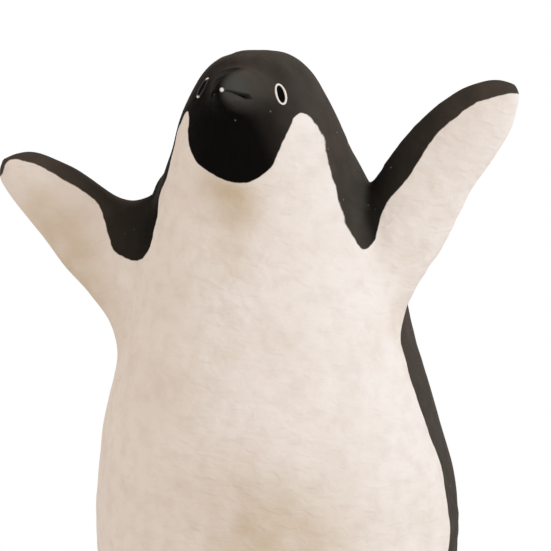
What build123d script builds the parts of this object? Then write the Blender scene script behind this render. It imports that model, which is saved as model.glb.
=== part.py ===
from build123d import *

import math
import os

# Hand-made penguin ornament: a hollow paper body on a stick frame, with its wings raised.
# Millimetres, +Z up. The penguin faces -Y and its own left side is on +X.
# The origin is the middle of the flat underside, on the table.

# Overall sizes
crown_height = 182.0
belly_half_width = 51.5
belly_half_depth = 45.0
head_forward = 11.5
head_sideways = 1.9

# Paper body, cast as a front and a back half that meet in the plane of the wings
shell_wall = 3.0
seam_forward = 6.0
band_thickness = 1.2
band_width = 12.0

# Stick frame, closing disc and plaster weight
disc_thickness = 9.0
ballast_height = 18.0
post_diameter = 9.0
post_hole_floor = 3.0
post_above_board = 14.0
board_height = 34.0
board_thickness = 12.0

# Every pin is glued into holes that are wider by this much all round
glue_clearance = 0.1

# Wings, each a card blade on a dowel between two paper skins
wing_length = 79.0
wing_half_chord = 16.5
wing_half_thickness = 10.0
left_wing_raise = 51.4
right_wing_raise = 38.3
wing_card_thickness = 3.0
wing_card_inset = 4.0
wing_dowel_diameter = 3.0
wing_dowel_length = 54.0

# Beak
beak_length = 22.0
beak_half_width = 7.6
beak_half_height = 6.8
beak_tilt = 8.0
mouth_droop = 10.0
beak_heading = 2.5
lower_beak_inset = 0.5
beak_peg_diameter = 2.4
beak_peg_length = 15.0

# Eye rings, brushed on thickly so that they stand proud of the head
eye_height = 6.5
eye_width = 3.4
eye_line = 0.60
eye_paint = 0.25
left_eye_beside_beak = 4.4
right_eye_beside_beak = 5.4
eye_upward = 24.0
eye_lean = 3.0

# Feet
foot_spacing = 36.0
foot_splay = 9.0
toe_length = 30.0
toe_width = 9.0
toe_count = 3
toe_fan = 19.0
instep_length = 26.0
instep_width = 13.0
foot_peg_diameter = 3.0
foot_peg_length = 22.0

# Tail
tail_length = 44.0
tail_half_width = 12.5
tail_half_height = 7.5
tail_droop = 20.0
tail_peg_diameter = 3.0
tail_peg_length = 30.0

# Places, as shares of the sizes that they follow
board_height_share = 0.62
left_root_out_share = 0.660
left_root_height_share = 0.692
right_root_out_share = 0.661
right_root_height_share = 0.615
wing_root_share = 0.253
wing_tip_share = 0.10
card_start_share = 0.25
card_end_share = 0.94
dowel_start_share = 0.06
beak_height_share = 0.929
beak_start_share = 0.42
beak_peg_start_share = 0.10
left_eye_height_share = 0.937
right_eye_height_share = 0.945
foot_reach_share = 0.80
toe_middle_share = 0.30
toe_lift_share = 0.09
foot_peg_height_share = 0.29
foot_peg_back_share = 0.58
tail_height_share = 0.094
tail_start_share = 0.55
tail_peg_start_share = 0.02

# Body outline: height, half width, half depth, forward lean, sideways lean
body_shares = [
    (0.000, 0.71, 0.73, 0.00, 0.00),
    (0.016, 0.78, 0.79, 0.00, 0.00),
    (0.044, 0.84, 0.85, 0.00, 0.00),
    (0.099, 0.91, 0.92, 0.00, 0.00),
    (0.181, 0.97, 0.98, 0.00, 0.00),
    (0.291, 1.00, 1.00, 0.00, 0.00),
    (0.390, 0.948, 0.975, 0.12, 0.10),
    (0.486, 0.865, 0.910, 0.22, 0.40),
    (0.580, 0.776, 0.810, 0.28, 0.60),
    (0.687, 0.705, 0.700, 0.32, 0.85),
    (0.745, 0.638, 0.635, 0.36, 0.90),
    (0.794, 0.572, 0.600, 0.43, 0.90),
    (0.843, 0.487, 0.575, 0.65, 0.90),
    (0.892, 0.427, 0.505, 0.91, 0.90),
    (0.934, 0.361, 0.420, 1.00, 1.00),
    (0.967, 0.281, 0.329, 1.00, 0.95),
    (0.987, 0.189, 0.225, 1.00, 0.75),
    (0.997, 0.092, 0.110, 1.00, 0.40),
]
widest_height_share = max(body_shares, key=lambda row: row[1])[0]

# Wing outlines: station, upper edge, lower edge, half thickness
left_wing_shares = [
    (0.000, 0.85, -1.15, 1.00),
    (0.127, 0.88, -0.88, 0.94),
    (0.253, 0.90, -0.71, 0.86),
    (0.380, 0.93, -0.655, 0.75),
    (0.506, 0.98, -0.545, 0.64),
    (0.633, 0.99, -0.42, 0.55),
    (0.760, 0.91, -0.38, 0.48),
    (0.861, 0.75, -0.32, 0.40),
    (0.937, 0.54, -0.19, 0.30),
    (0.981, 0.32, -0.05, 0.18),
]
right_wing_shares = [
    (0.000, 0.85, -1.50, 1.00),
    (0.127, 0.92, -1.38, 0.94),
    (0.253, 1.06, -1.08, 0.86),
    (0.380, 1.22, -0.80, 0.75),
    (0.506, 1.22, -0.66, 0.64),
    (0.582, 0.97, -0.60, 0.58),
    (0.684, 0.88, -0.50, 0.52),
    (0.785, 0.80, -0.40, 0.46),
    (0.861, 0.69, -0.34, 0.40),
    (0.937, 0.52, -0.25, 0.30),
    (0.981, 0.28, -0.12, 0.18),
]

# Beak and tail outlines: station, half width, half height
beak_shares = [
    (0.00, 1.00, 1.00),
    (0.30, 1.00, 1.00),
    (0.50, 0.92, 0.94),
    (0.70, 0.68, 0.74),
    (0.86, 0.42, 0.50),
    (0.96, 0.22, 0.27),
]
tail_shares = [
    (0.00, 1.00, 1.00),
    (0.35, 1.00, 0.92),
    (0.60, 0.86, 0.62),
    (0.80, 0.64, 0.38),
    (0.94, 0.36, 0.22),
]


def finish(piece, node):
    """Label a finished piece and write its file."""
    piece.label = node
    export_step(piece, f"parts/{node}.step")


def heading(turn, lift=0.0, side=1):
    """Direction that starts as straight ahead, is turned to one side and is then lifted."""
    turn, lift = math.radians(turn), math.radians(lift)
    return Vector(
        side * math.sin(turn) * math.cos(lift), -math.cos(turn) * math.cos(lift), math.sin(lift)
    )


def oval(plane, half_x, half_y, shift=0.0):
    """Oval of four quarter arcs on a plane, its middle moved along the plane's x."""
    with BuildSketch(plane) as outline:
        with BuildLine():
            for quarter in range(4):
                EllipticalCenterArc((shift, 0), half_x, half_y, 90 * quarter, arc_size=90)
        make_face()
    return outline.sketch


def block(centre, size_x, size_y, size_z):
    """A plain block about a middle point, used to keep part of a form."""
    with BuildPart(Plane(centre)) as form:
        Box(size_x, size_y, size_z)
    return form.part


def body_at(height_share):
    """The body's middle, half width and half depth at a share of its height."""
    for low, high in zip(body_shares, body_shares[1:]):
        if height_share <= high[0]:
            break
    step = (height_share - low[0]) / (high[0] - low[0])
    width, depth, forward, sideways = (
        low[column] + step * (high[column] - low[column]) for column in (1, 2, 3, 4)
    )
    middle = Vector(-sideways * head_sideways, -forward * head_forward, height_share * crown_height)
    return middle, width * belly_half_width, depth * belly_half_depth


def wall_tilt(index, column, size):
    """How far the body's wall leans from upright at one row of its outline, in radians."""
    low = body_shares[max(index - 1, 0)]
    high = body_shares[min(index + 1, len(body_shares) - 1)]
    rise = (high[0] - low[0]) * crown_height
    shrink = (low[column] - high[column]) * size
    return math.atan2(shrink, rise)


def body_form(inset=0.0):
    """The body's outer form, or the form that lies a wall's thickness inside it."""
    sections = []
    for index, row in enumerate(body_shares):
        height_share, width_share, depth_share, forward_share, sideways_share = row
        side_tilt = wall_tilt(index, 1, belly_half_width)
        front_tilt = wall_tilt(index, 2, belly_half_depth)
        height = height_share * crown_height
        if height_share > widest_height_share:
            height -= inset * math.sin(side_tilt)
        middle = Plane((-sideways_share * head_sideways, -forward_share * head_forward, height))
        half_width = width_share * belly_half_width - inset * math.cos(side_tilt)
        half_depth = depth_share * belly_half_depth - inset * math.cos(front_tilt)
        sections.append(oval(middle, half_width, half_depth))
    crown = Vertex(-sideways_share * head_sideways, -head_forward, crown_height - inset)
    with BuildPart() as form:
        loft([*sections, crown])
    return form.part


def pin_form(plane, length, diameter, clearance=0.0):
    """A round pin that stands on a plane, or with a clearance the hole that it is glued into."""
    with BuildPart(plane.offset(-clearance)) as form:
        Cylinder(
            diameter / 2 + clearance,
            length + 2 * clearance,
            align=(Align.CENTER, Align.CENTER, Align.MIN),
        )
    return form.part


def spindle(plane, length, width):
    """A round form along the plane's x that narrows to both ends: a toe or an instep."""
    with BuildPart() as form:
        with BuildSketch(plane):
            with BuildLine():
                EllipticalCenterArc((0, 0), length / 2, width / 2, 0, arc_size=180)
                Line((-length / 2, 0), (length / 2, 0))
            make_face()
        revolve(axis=Axis(plane.origin, plane.x_dir), revolution_arc=360)
    return form.part


def tapered_form(plane, length, half_width, half_height, shares):
    """Ovals along the plane's normal, closed by a point: the beak or the tail."""
    sections = [
        oval(plane.offset(station * length), width * half_width, height * half_height)
        for station, width, height in shares
    ]
    with BuildPart() as form:
        loft([*sections, Vertex(*(plane.origin + plane.z_dir * length))])
    return form.part


def wing_form(plane, shares):
    """Ovals between a wing's upper and lower edges, closed by a point at its tip."""
    sections = [
        oval(
            plane.offset(station * wing_length),
            (upper - lower) / 2 * wing_half_chord,
            thickness * wing_half_thickness,
            shift=(upper + lower) / 2 * wing_half_chord,
        )
        for station, upper, lower, thickness in shares
    ]
    tip = plane.origin + plane.z_dir * wing_length + plane.x_dir * wing_tip_share * wing_half_chord
    with BuildPart() as form:
        loft([*sections, Vertex(*tip)])
    return form.part


def wing_card(plane, side, shares):
    """The flat card blade inside a wing, its outline drawn in from the wing's edges."""
    rows = [row for row in shares if card_start_share < row[0] < card_end_share]
    upper = [(row[0] * wing_length, row[1] * wing_half_chord - wing_card_inset) for row in rows]
    lower = [(row[0] * wing_length, row[2] * wing_half_chord + wing_card_inset) for row in rows]
    with BuildPart() as form:
        with BuildSketch(Plane(plane.origin, x_dir=plane.z_dir, z_dir=(0, -side, 0))):
            with BuildLine():
                Spline(*upper)
                Line(upper[-1], lower[-1])
                Spline(*lower)
                Line(upper[0], lower[0])
            make_face()
        extrude(amount=wing_card_thickness / 2, both=True)
    return form.part


# Forms that several pieces share
os.makedirs("parts", exist_ok=True)
body_outside = body_form()
body_inside = body_form(shell_wall)
band_inside = body_form(shell_wall + band_thickness)
paint_outside = body_form(-eye_paint)
seam_plane = Plane((0, -seam_forward, 0), z_dir=(0, -1, 0))
ballast_top = disc_thickness + ballast_height
board_middle = Vector(0, -seam_forward, board_height_share * crown_height)
board_top = board_middle.Z + board_height / 2

# Inner end of each wing: its plane looks along the wing and its x points to the upper edge
wings = {}
for name, side, lift, out_share, height_share, shares in (
    ("left", 1, left_wing_raise, left_root_out_share, left_root_height_share, left_wing_shares),
    ("right", -1, right_wing_raise, right_root_out_share, right_root_height_share, right_wing_shares),
):
    root = Vector(side * out_share * belly_half_width, -seam_forward, height_share * crown_height)
    along = Vector(side, 0, 0).rotate(Axis.Y, -side * lift)
    across = Vector(0, 0, 1).rotate(Axis.Y, -side * lift)
    inner_end = Plane(root - along * wing_root_share * wing_length, x_dir=across, z_dir=along)
    wings[name] = (side, inner_end, shares)

# Beak: its plane looks along the beak, from inside the head
head_middle, head_half_width, head_half_depth = body_at(beak_height_share)
beak_start = Plane(
    head_middle - Vector(0, beak_start_share * head_half_depth, 0),
    x_dir=Vector(1, 0, 0).rotate(Axis.Z, -beak_heading),
    z_dir=heading(beak_heading, beak_tilt, side=-1),
)
# Mouth: its plane looks along the mouth at the beak's tip, which it falls away from to the corners
droop = math.radians(mouth_droop)
mouth_line = Plane(
    beak_start.origin + beak_start.z_dir * beak_length,
    x_dir=beak_start.x_dir,
    z_dir=beak_start.z_dir * math.cos(droop) + beak_start.y_dir * math.sin(droop),
)

# Feet: each plane lies on the table under the ankle and its x points forwards
feet = {}
for name, side in (("left", 1), ("right", -1)):
    ankle = Vector(side * foot_spacing / 2, -foot_reach_share * belly_half_depth, 0)
    feet[name] = Plane(ankle, x_dir=heading(foot_splay, side=side), z_dir=(0, 0, 1))

# Tail: its plane looks along the tail, from inside the body
tail_start = Plane(
    (0, tail_start_share * belly_half_depth, tail_height_share * crown_height),
    x_dir=(1, 0, 0),
    z_dir=heading(180, -tail_droop),
)

# Pins: the plane that each one stands on, its length and its diameter
pins = {
    "spine_post": (
        Plane((0, -seam_forward, post_hole_floor)),
        board_top + post_above_board - post_hole_floor,
        post_diameter,
    ),
    "beak_peg": (
        mouth_line.offset((beak_peg_start_share - 1) * beak_length),
        beak_peg_length,
        beak_peg_diameter,
    ),
    "tail_peg": (
        tail_start.offset(tail_peg_start_share * tail_length),
        tail_peg_length,
        tail_peg_diameter,
    ),
}
for name, (side, inner_end, shares) in wings.items():
    dowel_start = inner_end.offset(dowel_start_share * wing_length)
    pins[f"{name}_wing_dowel"] = (dowel_start, wing_dowel_length, wing_dowel_diameter)
for name, foot in feet.items():
    peg_start = foot.origin - foot.x_dir * foot_peg_back_share * foot_peg_length
    peg_start += Vector(0, 0, foot_peg_height_share * disc_thickness)
    pins[f"{name}_foot_peg"] = (
        Plane(peg_start, x_dir=(0, 0, 1), z_dir=foot.x_dir),
        foot_peg_length,
        foot_peg_diameter,
    )
for node, pin in pins.items():
    finish(pin_form(*pin), node)
holes = {node: pin_form(*pin, glue_clearance) for node, pin in pins.items()}

# Front and back paper halves of the body
with BuildPart() as body_shell:
    add(body_outside)
    add(body_inside, mode=Mode.SUBTRACT)
    for hole in holes.values():
        add(hole, mode=Mode.SUBTRACT)

with BuildPart() as front_shell:
    add(body_shell.part)
    split(bisect_by=seam_plane, keep=Keep.TOP)
finish(front_shell.part, "front_shell")

with BuildPart() as back_shell:
    add(body_shell.part)
    split(bisect_by=seam_plane, keep=Keep.BOTTOM)
finish(back_shell.part, "back_shell")

# Pasted paper band that joins the two halves from inside, down to the plaster
with BuildPart() as seam_band:
    add(body_inside)
    band_height = crown_height - ballast_top
    band_middle = (0, -seam_forward, ballast_top + band_height / 2)
    add(
        block(band_middle, 2 * belly_half_width, band_width, band_height),
        mode=Mode.INTERSECT,
    )
    add(band_inside, mode=Mode.SUBTRACT)
    for name in wings:
        add(holes[f"{name}_wing_dowel"], mode=Mode.SUBTRACT)
finish(seam_band.part, "seam_band")

# Wooden disc that closes the bottom and takes the post and the foot pegs
with BuildPart() as closing_disc:
    add(body_inside)
    add(
        block(
            (0, 0, disc_thickness / 2),
            2 * belly_half_width,
            2 * belly_half_depth,
            disc_thickness,
        ),
        mode=Mode.INTERSECT,
    )
    for node in ("spine_post", "left_foot_peg", "right_foot_peg"):
        add(holes[node], mode=Mode.SUBTRACT)
finish(closing_disc.part, "closing_disc")

# Plaster poured on the disc, round the post and the tail peg
with BuildPart() as plaster_weight:
    add(body_inside)
    add(
        block(
            (0, 0, disc_thickness + ballast_height / 2),
            2 * belly_half_width,
            2 * belly_half_depth,
            ballast_height,
        ),
        mode=Mode.INTERSECT,
    )
    for node in ("spine_post", "tail_peg"):
        add(holes[node], mode=Mode.SUBTRACT)
finish(plaster_weight.part, "plaster_weight")

# Board across the shoulders, which carries the wing dowels and bears on the band
with BuildPart() as shoulder_board:
    add(band_inside)
    add(
        block(board_middle, 2 * belly_half_width, board_thickness, board_height),
        mode=Mode.INTERSECT,
    )
    for node in ("spine_post", "left_wing_dowel", "right_wing_dowel"):
        add(holes[node], mode=Mode.SUBTRACT)
finish(shoulder_board.part, "shoulder_board")

# Wings
for name, (side, inner_end, shares) in wings.items():
    with BuildPart() as card:
        add(wing_card(inner_end, side, shares))
        add(body_outside, mode=Mode.SUBTRACT)
        add(holes[f"{name}_wing_dowel"], mode=Mode.SUBTRACT)
    finish(card.part, f"{name}_wing_card")

    with BuildPart() as skins:
        add(wing_form(inner_end, shares))
        add(body_outside, mode=Mode.SUBTRACT)
        add(wing_card(inner_end, side, shares), mode=Mode.SUBTRACT)
        add(holes[f"{name}_wing_dowel"], mode=Mode.SUBTRACT)
    for face, keep in (("front", Keep.TOP), ("back", Keep.BOTTOM)):
        with BuildPart() as skin:
            add(skins.part)
            split(bisect_by=seam_plane, keep=keep)
        finish(skin.part, f"{name}_wing_{face}_skin")

# Beak, in two halves on one peg
mouth_plane = Plane(mouth_line.origin, x_dir=mouth_line.x_dir, z_dir=mouth_line.y_dir)
for node, keep, inset in (
    ("upper_beak", Keep.TOP, 0),
    ("lower_beak", Keep.BOTTOM, lower_beak_inset),
):
    with BuildPart() as beak_half:
        add(
            tapered_form(
                beak_start,
                beak_length - inset,
                beak_half_width - inset,
                beak_half_height - inset,
                beak_shares,
            )
        )
        split(bisect_by=mouth_plane, keep=keep)
        add(body_outside, mode=Mode.SUBTRACT)
        add(holes["beak_peg"], mode=Mode.SUBTRACT)
    finish(beak_half.part, node)

# Eye rings, each a thick line of paint that follows the head, at a distance beside the beak
for name, side, height_share, beside_beak in (
    ("left", 1, left_eye_height_share, left_eye_beside_beak),
    ("right", -1, right_eye_height_share, right_eye_beside_beak),
):
    eye_middle, eye_half_width, eye_half_depth = body_at(height_share)
    eye_bearing = math.degrees((beak_half_width + beside_beak) / eye_half_width)
    bearing = heading(eye_bearing, side=side)
    eye_plane = Plane(
        eye_middle + Vector(bearing.X * eye_half_width, bearing.Y * eye_half_depth, 0),
        x_dir=heading(eye_bearing + 90, side=side) * side,
        z_dir=heading(eye_bearing, eye_upward, side=side),
    )
    with BuildPart() as eye_ring:
        with BuildSketch(eye_plane):
            Ellipse(eye_width / 2, eye_height / 2, rotation=side * eye_lean)
            Ellipse(
                eye_width / 2 - eye_line,
                eye_height / 2 - eye_line,
                rotation=side * eye_lean,
                mode=Mode.SUBTRACT,
            )
        extrude(amount=eye_height / 2, both=True)
        add(paint_outside, mode=Mode.INTERSECT)
        add(body_outside, mode=Mode.SUBTRACT)
    finish(eye_ring.part, f"{name}_eye_ring")

# Feet, pressed from paper pulp against the front of the body
for name, foot in feet.items():
    with BuildPart() as foot_piece:
        instep = foot.offset(toe_lift_share * instep_width)
        add(spindle(instep, instep_length, instep_width))
        for toe in range(toe_count):
            turn = (toe - (toe_count - 1) / 2) * toe_fan
            direction = foot.x_dir.rotate(Axis.Z, turn)
            middle = foot.origin + direction * toe_middle_share * toe_length
            toe_plane = Plane(middle, x_dir=direction, z_dir=(0, 0, 1))
            add(spindle(toe_plane.offset(toe_lift_share * toe_width), toe_length, toe_width))
        split(bisect_by=Plane.XY, keep=Keep.TOP)
        add(body_outside, mode=Mode.SUBTRACT)
        add(holes[f"{name}_foot_peg"], mode=Mode.SUBTRACT)
    finish(foot_piece.part, f"{name}_foot")

# Tail
with BuildPart() as tail:
    add(tapered_form(tail_start, tail_length, tail_half_width, tail_half_height, tail_shares))
    split(bisect_by=Plane.XY, keep=Keep.TOP)
    add(body_outside, mode=Mode.SUBTRACT)
    add(holes["tail_peg"], mode=Mode.SUBTRACT)
finish(tail.part, "tail")
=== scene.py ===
import bpy
import numpy as np
from mathutils import Matrix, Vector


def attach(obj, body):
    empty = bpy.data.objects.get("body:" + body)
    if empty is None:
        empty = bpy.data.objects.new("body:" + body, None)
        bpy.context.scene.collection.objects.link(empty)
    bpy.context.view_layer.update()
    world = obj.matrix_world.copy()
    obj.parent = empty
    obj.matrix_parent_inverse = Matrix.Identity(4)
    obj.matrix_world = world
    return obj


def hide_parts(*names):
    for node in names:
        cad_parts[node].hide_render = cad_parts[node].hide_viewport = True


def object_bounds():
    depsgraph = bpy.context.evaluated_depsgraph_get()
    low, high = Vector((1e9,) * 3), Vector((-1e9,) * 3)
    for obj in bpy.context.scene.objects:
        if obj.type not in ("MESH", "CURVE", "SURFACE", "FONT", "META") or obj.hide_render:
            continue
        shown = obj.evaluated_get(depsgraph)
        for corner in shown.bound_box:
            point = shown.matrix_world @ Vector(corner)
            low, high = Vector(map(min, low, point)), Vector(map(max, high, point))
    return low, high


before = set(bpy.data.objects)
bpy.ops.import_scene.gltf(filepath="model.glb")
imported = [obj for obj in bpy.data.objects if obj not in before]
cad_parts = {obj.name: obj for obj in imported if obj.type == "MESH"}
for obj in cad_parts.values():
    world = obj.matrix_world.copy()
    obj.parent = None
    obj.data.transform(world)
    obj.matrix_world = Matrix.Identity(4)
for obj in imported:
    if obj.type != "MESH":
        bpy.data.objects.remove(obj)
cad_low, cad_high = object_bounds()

# Hand-made penguin ornament of painted papier-mache, standing with both wings raised.
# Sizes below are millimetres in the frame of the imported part: +Z up, the penguin faces -Y.
millimetre = 0.001


# Stick frame: a beech post, a pine board across the shoulders, a pine closing disc, and dowels and pegs.
# It is sawn and drilled by hand, left bare, and glued. Only the underside of the disc can be seen.

def linear(code):
    """An sRGB hex colour as linear red, green and blue: each channel below the bend of the sRGB curve is
    divided by its slope, and above it goes through the curve's power."""
    channels = np.array([int(code[place : place + 2], 16) for place in (0, 2, 4)]) / 255
    curved = ((channels + 0.055) / 1.055) ** 2.4
    return (*np.where(channels > 0.04045, curved, channels / 12.92), 1.0)


def wire(tree, node, inputs):
    """Gives each named input of a node its value, or its link from another node's output."""
    for name, value in inputs.items():
        if isinstance(value, bpy.types.NodeSocket):
            tree.links.new(value, node.inputs[name])
        else:
            node.inputs[name].default_value = value


def add_node(tree, kind, out, inputs=None, **settings):
    """Adds one shader node with its settings and links, and hands back the output that is named."""
    made = tree.nodes.new(f"ShaderNode{kind}")
    for setting, value in settings.items():
        setattr(made, setting, value)
    wire(tree, made, inputs or {})
    return made.outputs[out]


def new_material(name, roughness, ior):
    """An empty material of one real finish, with its shader node and its Object coordinates."""
    material = bpy.data.materials.new(name)
    material.use_nodes = True
    tree = material.node_tree
    shader = tree.nodes["Principled BSDF"]
    wire(tree, shader, {"Roughness": roughness, "IOR": ior})
    return material, tree, shader, add_node(tree, "TexCoord", "Object")


def bare_wood(name, pale, dark, ring_width):
    """Sawn softwood or beech, unsealed: dull, with growth rings cut lengthwise into long streaks and short
    dark pores. Rings are warped bands across the grain, ring_width millimetres apart."""
    material, tree, shader, place = new_material(name, roughness=0.72, ior=1.5)
    pore_size, pore_depth = 0.6, 0.15
    band_gap = 0.314
    grain = add_node(tree, "Mapping", "Vector", {"Vector": place, "Scale": (1.0, 1.0, 0.12)})
    waves = {"Scale": band_gap / (ring_width * millimetre), "Distortion": 5.0, "Detail": 3.0}
    rings = add_node(tree, "TexWave", "Fac", {"Vector": grain, "Detail Scale": 1.4, **waves})
    pores = {"Vector": grain, "Scale": 1 / (pore_size * millimetre), "Detail": 4.0}
    pores = add_node(tree, "TexNoise", "Fac", pores)
    tone = add_node(tree, "Mix", 2, {0: rings, 6: linear(pale), 7: linear(dark)}, data_type="RGBA")
    shade = {"Value": pores, "From Min": 0.3, "From Max": 0.6, "To Min": 0.8}
    shade = add_node(tree, "MapRange", "Result", shade)
    colour = {0: 1.0, 6: tone, 7: shade}
    colour = add_node(tree, "Mix", 2, colour, data_type="RGBA", blend_type="MULTIPLY")
    bump = {"Height": pores, "Strength": 0.3, "Distance": pore_depth * millimetre}
    wire(tree, shader, {"Base Color": colour, "Normal": add_node(tree, "Bump", "Normal", bump)})
    return material


def dress(names, material):
    """Gives CAD nodes that stay as they are their material."""
    for name in names:
        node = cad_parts[name]
        if not node.material_slots:
            node.data.materials.append(material)
        for slot in node.material_slots:
            slot.material = material


sawn_pine = bare_wood("sawn_pine", pale="d9b98a", dark="b98f5c", ring_width=3.5)
turned_beech = bare_wood("turned_beech", pale="d8ae82", dark="c08e62", ring_width=1.6)
dress(("closing_disc", "shoulder_board"), sawn_pine)
dress(("spine_post", "left_wing_dowel", "right_wing_dowel", "beak_peg"), turned_beech)
dress(("left_foot_peg", "right_foot_peg", "tail_peg"), turned_beech)


# Plaster weight: casting plaster poured wet on to the disc, so that the ornament doesn't tip over.
# It sets chalky and dull, with small air bubbles in its face.

def cast_plaster():
    """Off-white chalk with bubbles about a millimetre across, as small round pits."""
    material, tree, shader, place = new_material("cast_plaster", roughness=0.9, ior=1.52)
    bubble_size, bubble_depth, cloud_size = 1.2, 0.3, 9.0
    bubbles = {"Vector": place, "Scale": 1 / (bubble_size * millimetre)}
    bubbles = add_node(tree, "TexVoronoi", "Distance", bubbles)
    clouds = {"Vector": place, "Scale": 1 / (cloud_size * millimetre), "Detail": 3.0}
    clouds = add_node(tree, "TexNoise", "Fac", clouds)
    colour = {0: clouds, 6: linear("e9e6de"), 7: linear("d3cdc0")}
    colour = add_node(tree, "Mix", 2, colour, data_type="RGBA")
    pits = add_node(tree, "MapRange", "Result", {"Value": bubbles, "From Min": 0.05, "From Max": 0.3})
    bump = {"Height": pits, "Strength": 0.5, "Distance": bubble_depth * millimetre}
    wire(tree, shader, {"Base Color": colour, "Normal": add_node(tree, "Bump", "Normal", bump)})
    return material


dress(("plaster_weight",), cast_plaster())


# Seam band and wing blades: a strip of pasted paper inside the joint of the two halves of the body, and
# two blades of grey card that keep the wings flat. Both are bare, and hidden once the skin is on.

def bare_board(name, pale, dark, fibre_length):
    """Unpainted paper or card: fibres of this length in millimetres lie in every direction as faint
    flecks."""
    material, tree, shader, place = new_material(name, roughness=0.85, ior=1.5)
    fibre_height = 0.1
    flecks = {"Scale": 1 / (fibre_length * millimetre), "Detail": 6.0, "Distortion": 1.5}
    flecks = add_node(tree, "TexNoise", "Fac", {"Vector": place, **flecks})
    colour = add_node(tree, "Mix", 2, {0: flecks, 6: linear(pale), 7: linear(dark)}, data_type="RGBA")
    bump = {"Height": flecks, "Strength": 0.3, "Distance": fibre_height * millimetre}
    wire(tree, shader, {"Base Color": colour, "Normal": add_node(tree, "Bump", "Normal", bump)})
    return material


dress(("seam_band",), bare_board("pasted_newsprint", pale="cabfa6", dark="a89b80", fibre_length=1.5))
dress(
    ("left_wing_card", "right_wing_card"),
    bare_board("grey_card", pale="9c968a", dark="7e786d", fibre_length=0.8),
)


# Body: two papier-mache halves, laid up wet over a form, joined in the plane of the wings, then
# smoothed over with one skin of pulp and tissue that runs on into the wings and the beak.

crown_height = cad_high.z / millimetre
belly_half_width = 51.5
belly_half_depth = 45.0
head_forward = 11.5
head_sideways = 1.9
shell_wall = 3.0
seam_y = -6.0

# Height, half width, half depth, forward lean and sideways lean, as shares of the sizes above
body_shares = [
    (0.000, 0.71, 0.73, 0.00, 0.00),
    (0.016, 0.78, 0.79, 0.00, 0.00),
    (0.044, 0.84, 0.85, 0.00, 0.00),
    (0.099, 0.91, 0.92, 0.00, 0.00),
    (0.181, 0.97, 0.98, 0.00, 0.00),
    (0.291, 1.00, 1.00, 0.00, 0.00),
    (0.390, 0.948, 0.975, 0.12, 0.10),
    (0.486, 0.865, 0.910, 0.22, 0.40),
    (0.580, 0.776, 0.810, 0.28, 0.60),
    (0.687, 0.705, 0.700, 0.32, 0.85),
    (0.745, 0.638, 0.635, 0.36, 0.90),
    (0.794, 0.572, 0.600, 0.43, 0.90),
    (0.843, 0.487, 0.575, 0.65, 0.90),
    (0.892, 0.427, 0.505, 0.91, 0.90),
    (0.934, 0.361, 0.420, 1.00, 1.00),
    (0.967, 0.284, 0.329, 1.00, 0.95),
    (0.987, 0.200, 0.225, 1.00, 0.75),
    (0.997, 0.108, 0.110, 1.00, 0.40),
    (1.000, 0.000, 0.000, 1.00, 0.40),
]


def curve_through(rows, count):
    """A cubic spline through the rows of a table, spaced by the distance between rows: slope and bend
    are continuous at each row, and the bend fades to nothing at both ends."""
    rows = np.asarray(rows, float)
    gaps = np.linalg.norm(np.diff(rows, axis=0), axis=1)
    places = np.concatenate([[0], np.cumsum(gaps)])
    inner = np.arange(1, len(rows) - 1)
    system = np.eye(len(rows))
    system[inner, inner - 1] = gaps[:-1]
    system[inner, inner] = 2 * (gaps[:-1] + gaps[1:])
    system[inner, inner + 1] = gaps[1:]
    bends = np.zeros_like(rows)
    bends[1:-1] = 6 * np.diff(np.diff(rows, axis=0) / gaps[:, None], axis=0)
    bends = np.linalg.solve(system, bends)
    fine = np.linspace(0, places[-1], count)
    span = np.clip(np.searchsorted(places, fine) - 1, 0, len(gaps) - 1)
    gap = gaps[span][:, None]
    after = (fine[:, None] - places[span][:, None]) / gap
    before = 1 - after
    return (
        before * rows[span]
        + after * rows[span + 1]
        + ((before**3 - before) * bends[span] + (after**3 - after) * bends[span + 1]) * gap**2 / 6
    )


def form_table(rows, step=0.1, past=40.0, fine=4000):
    """Turns rows of place, half width, half depth, and the middle's offset in depth and in width into
    columns at even places. The rows end in a point, and are mirrored past it so that the end is round. The
    squared half width runs on straight past both ends. Each column's slope is given too."""
    rows = np.array(rows, float)
    beyond = rows[-2:-4:-1] * (1, -1, -1, 1, 1)
    beyond[:, 0] = 2 * rows[-1, 0] - beyond[:, 0]
    dense = curve_through([*rows, *beyond], fine)
    dense = dense[: np.argmax(dense[:, 1] <= 0)]
    place, half_width, half_depth, deep_middle, wide_middle = dense.T
    columns = np.stack([half_width**2, (half_width / half_depth) ** 2, deep_middle, wide_middle])
    even = np.arange(place[0], place[-1], step)
    columns = np.stack([np.interp(even, place, column) for column in columns])
    slopes = np.gradient(columns, step, axis=1)
    ends = columns[:, [0, -1]]
    ends[0] += slopes[0, [0, -1]] * (-past, past)
    even = np.concatenate([[even[0] - past], even, [even[-1] + past]])
    columns = np.concatenate([ends[:, :1], columns, ends[:, 1:]], axis=1)
    slopes = np.concatenate([slopes[:, :1], slopes, slopes[:, -1:]], axis=1)
    return even, columns, slopes


def oval_distance(place, wide, deep, table):
    """Distance from a form whose sections are ovals: wide² + share · deep² - half_width² is zero on it,
    and divided by its own steepness from point to point it is the distance."""
    even, columns, slopes = table
    square, share, deep_middle, wide_middle = (np.interp(place, even, column) for column in columns)
    d_square, d_share, d_deep, d_wide = (np.interp(place, even, column) for column in slopes)
    wide = wide - wide_middle
    deep = deep - deep_middle
    growth = d_share * deep**2 - d_square - 2 * wide * d_wide - 2 * share * deep * d_deep
    steepness = np.sqrt(4 * wide**2 + (2 * share * deep) ** 2 + growth**2)
    return (wide**2 + share * deep**2 - square) / np.maximum(steepness, 1e-3)


body_sizes = (crown_height, belly_half_width, belly_half_depth, -head_forward, -head_sideways)
body_table = form_table(np.array(body_shares) * body_sizes)


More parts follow.
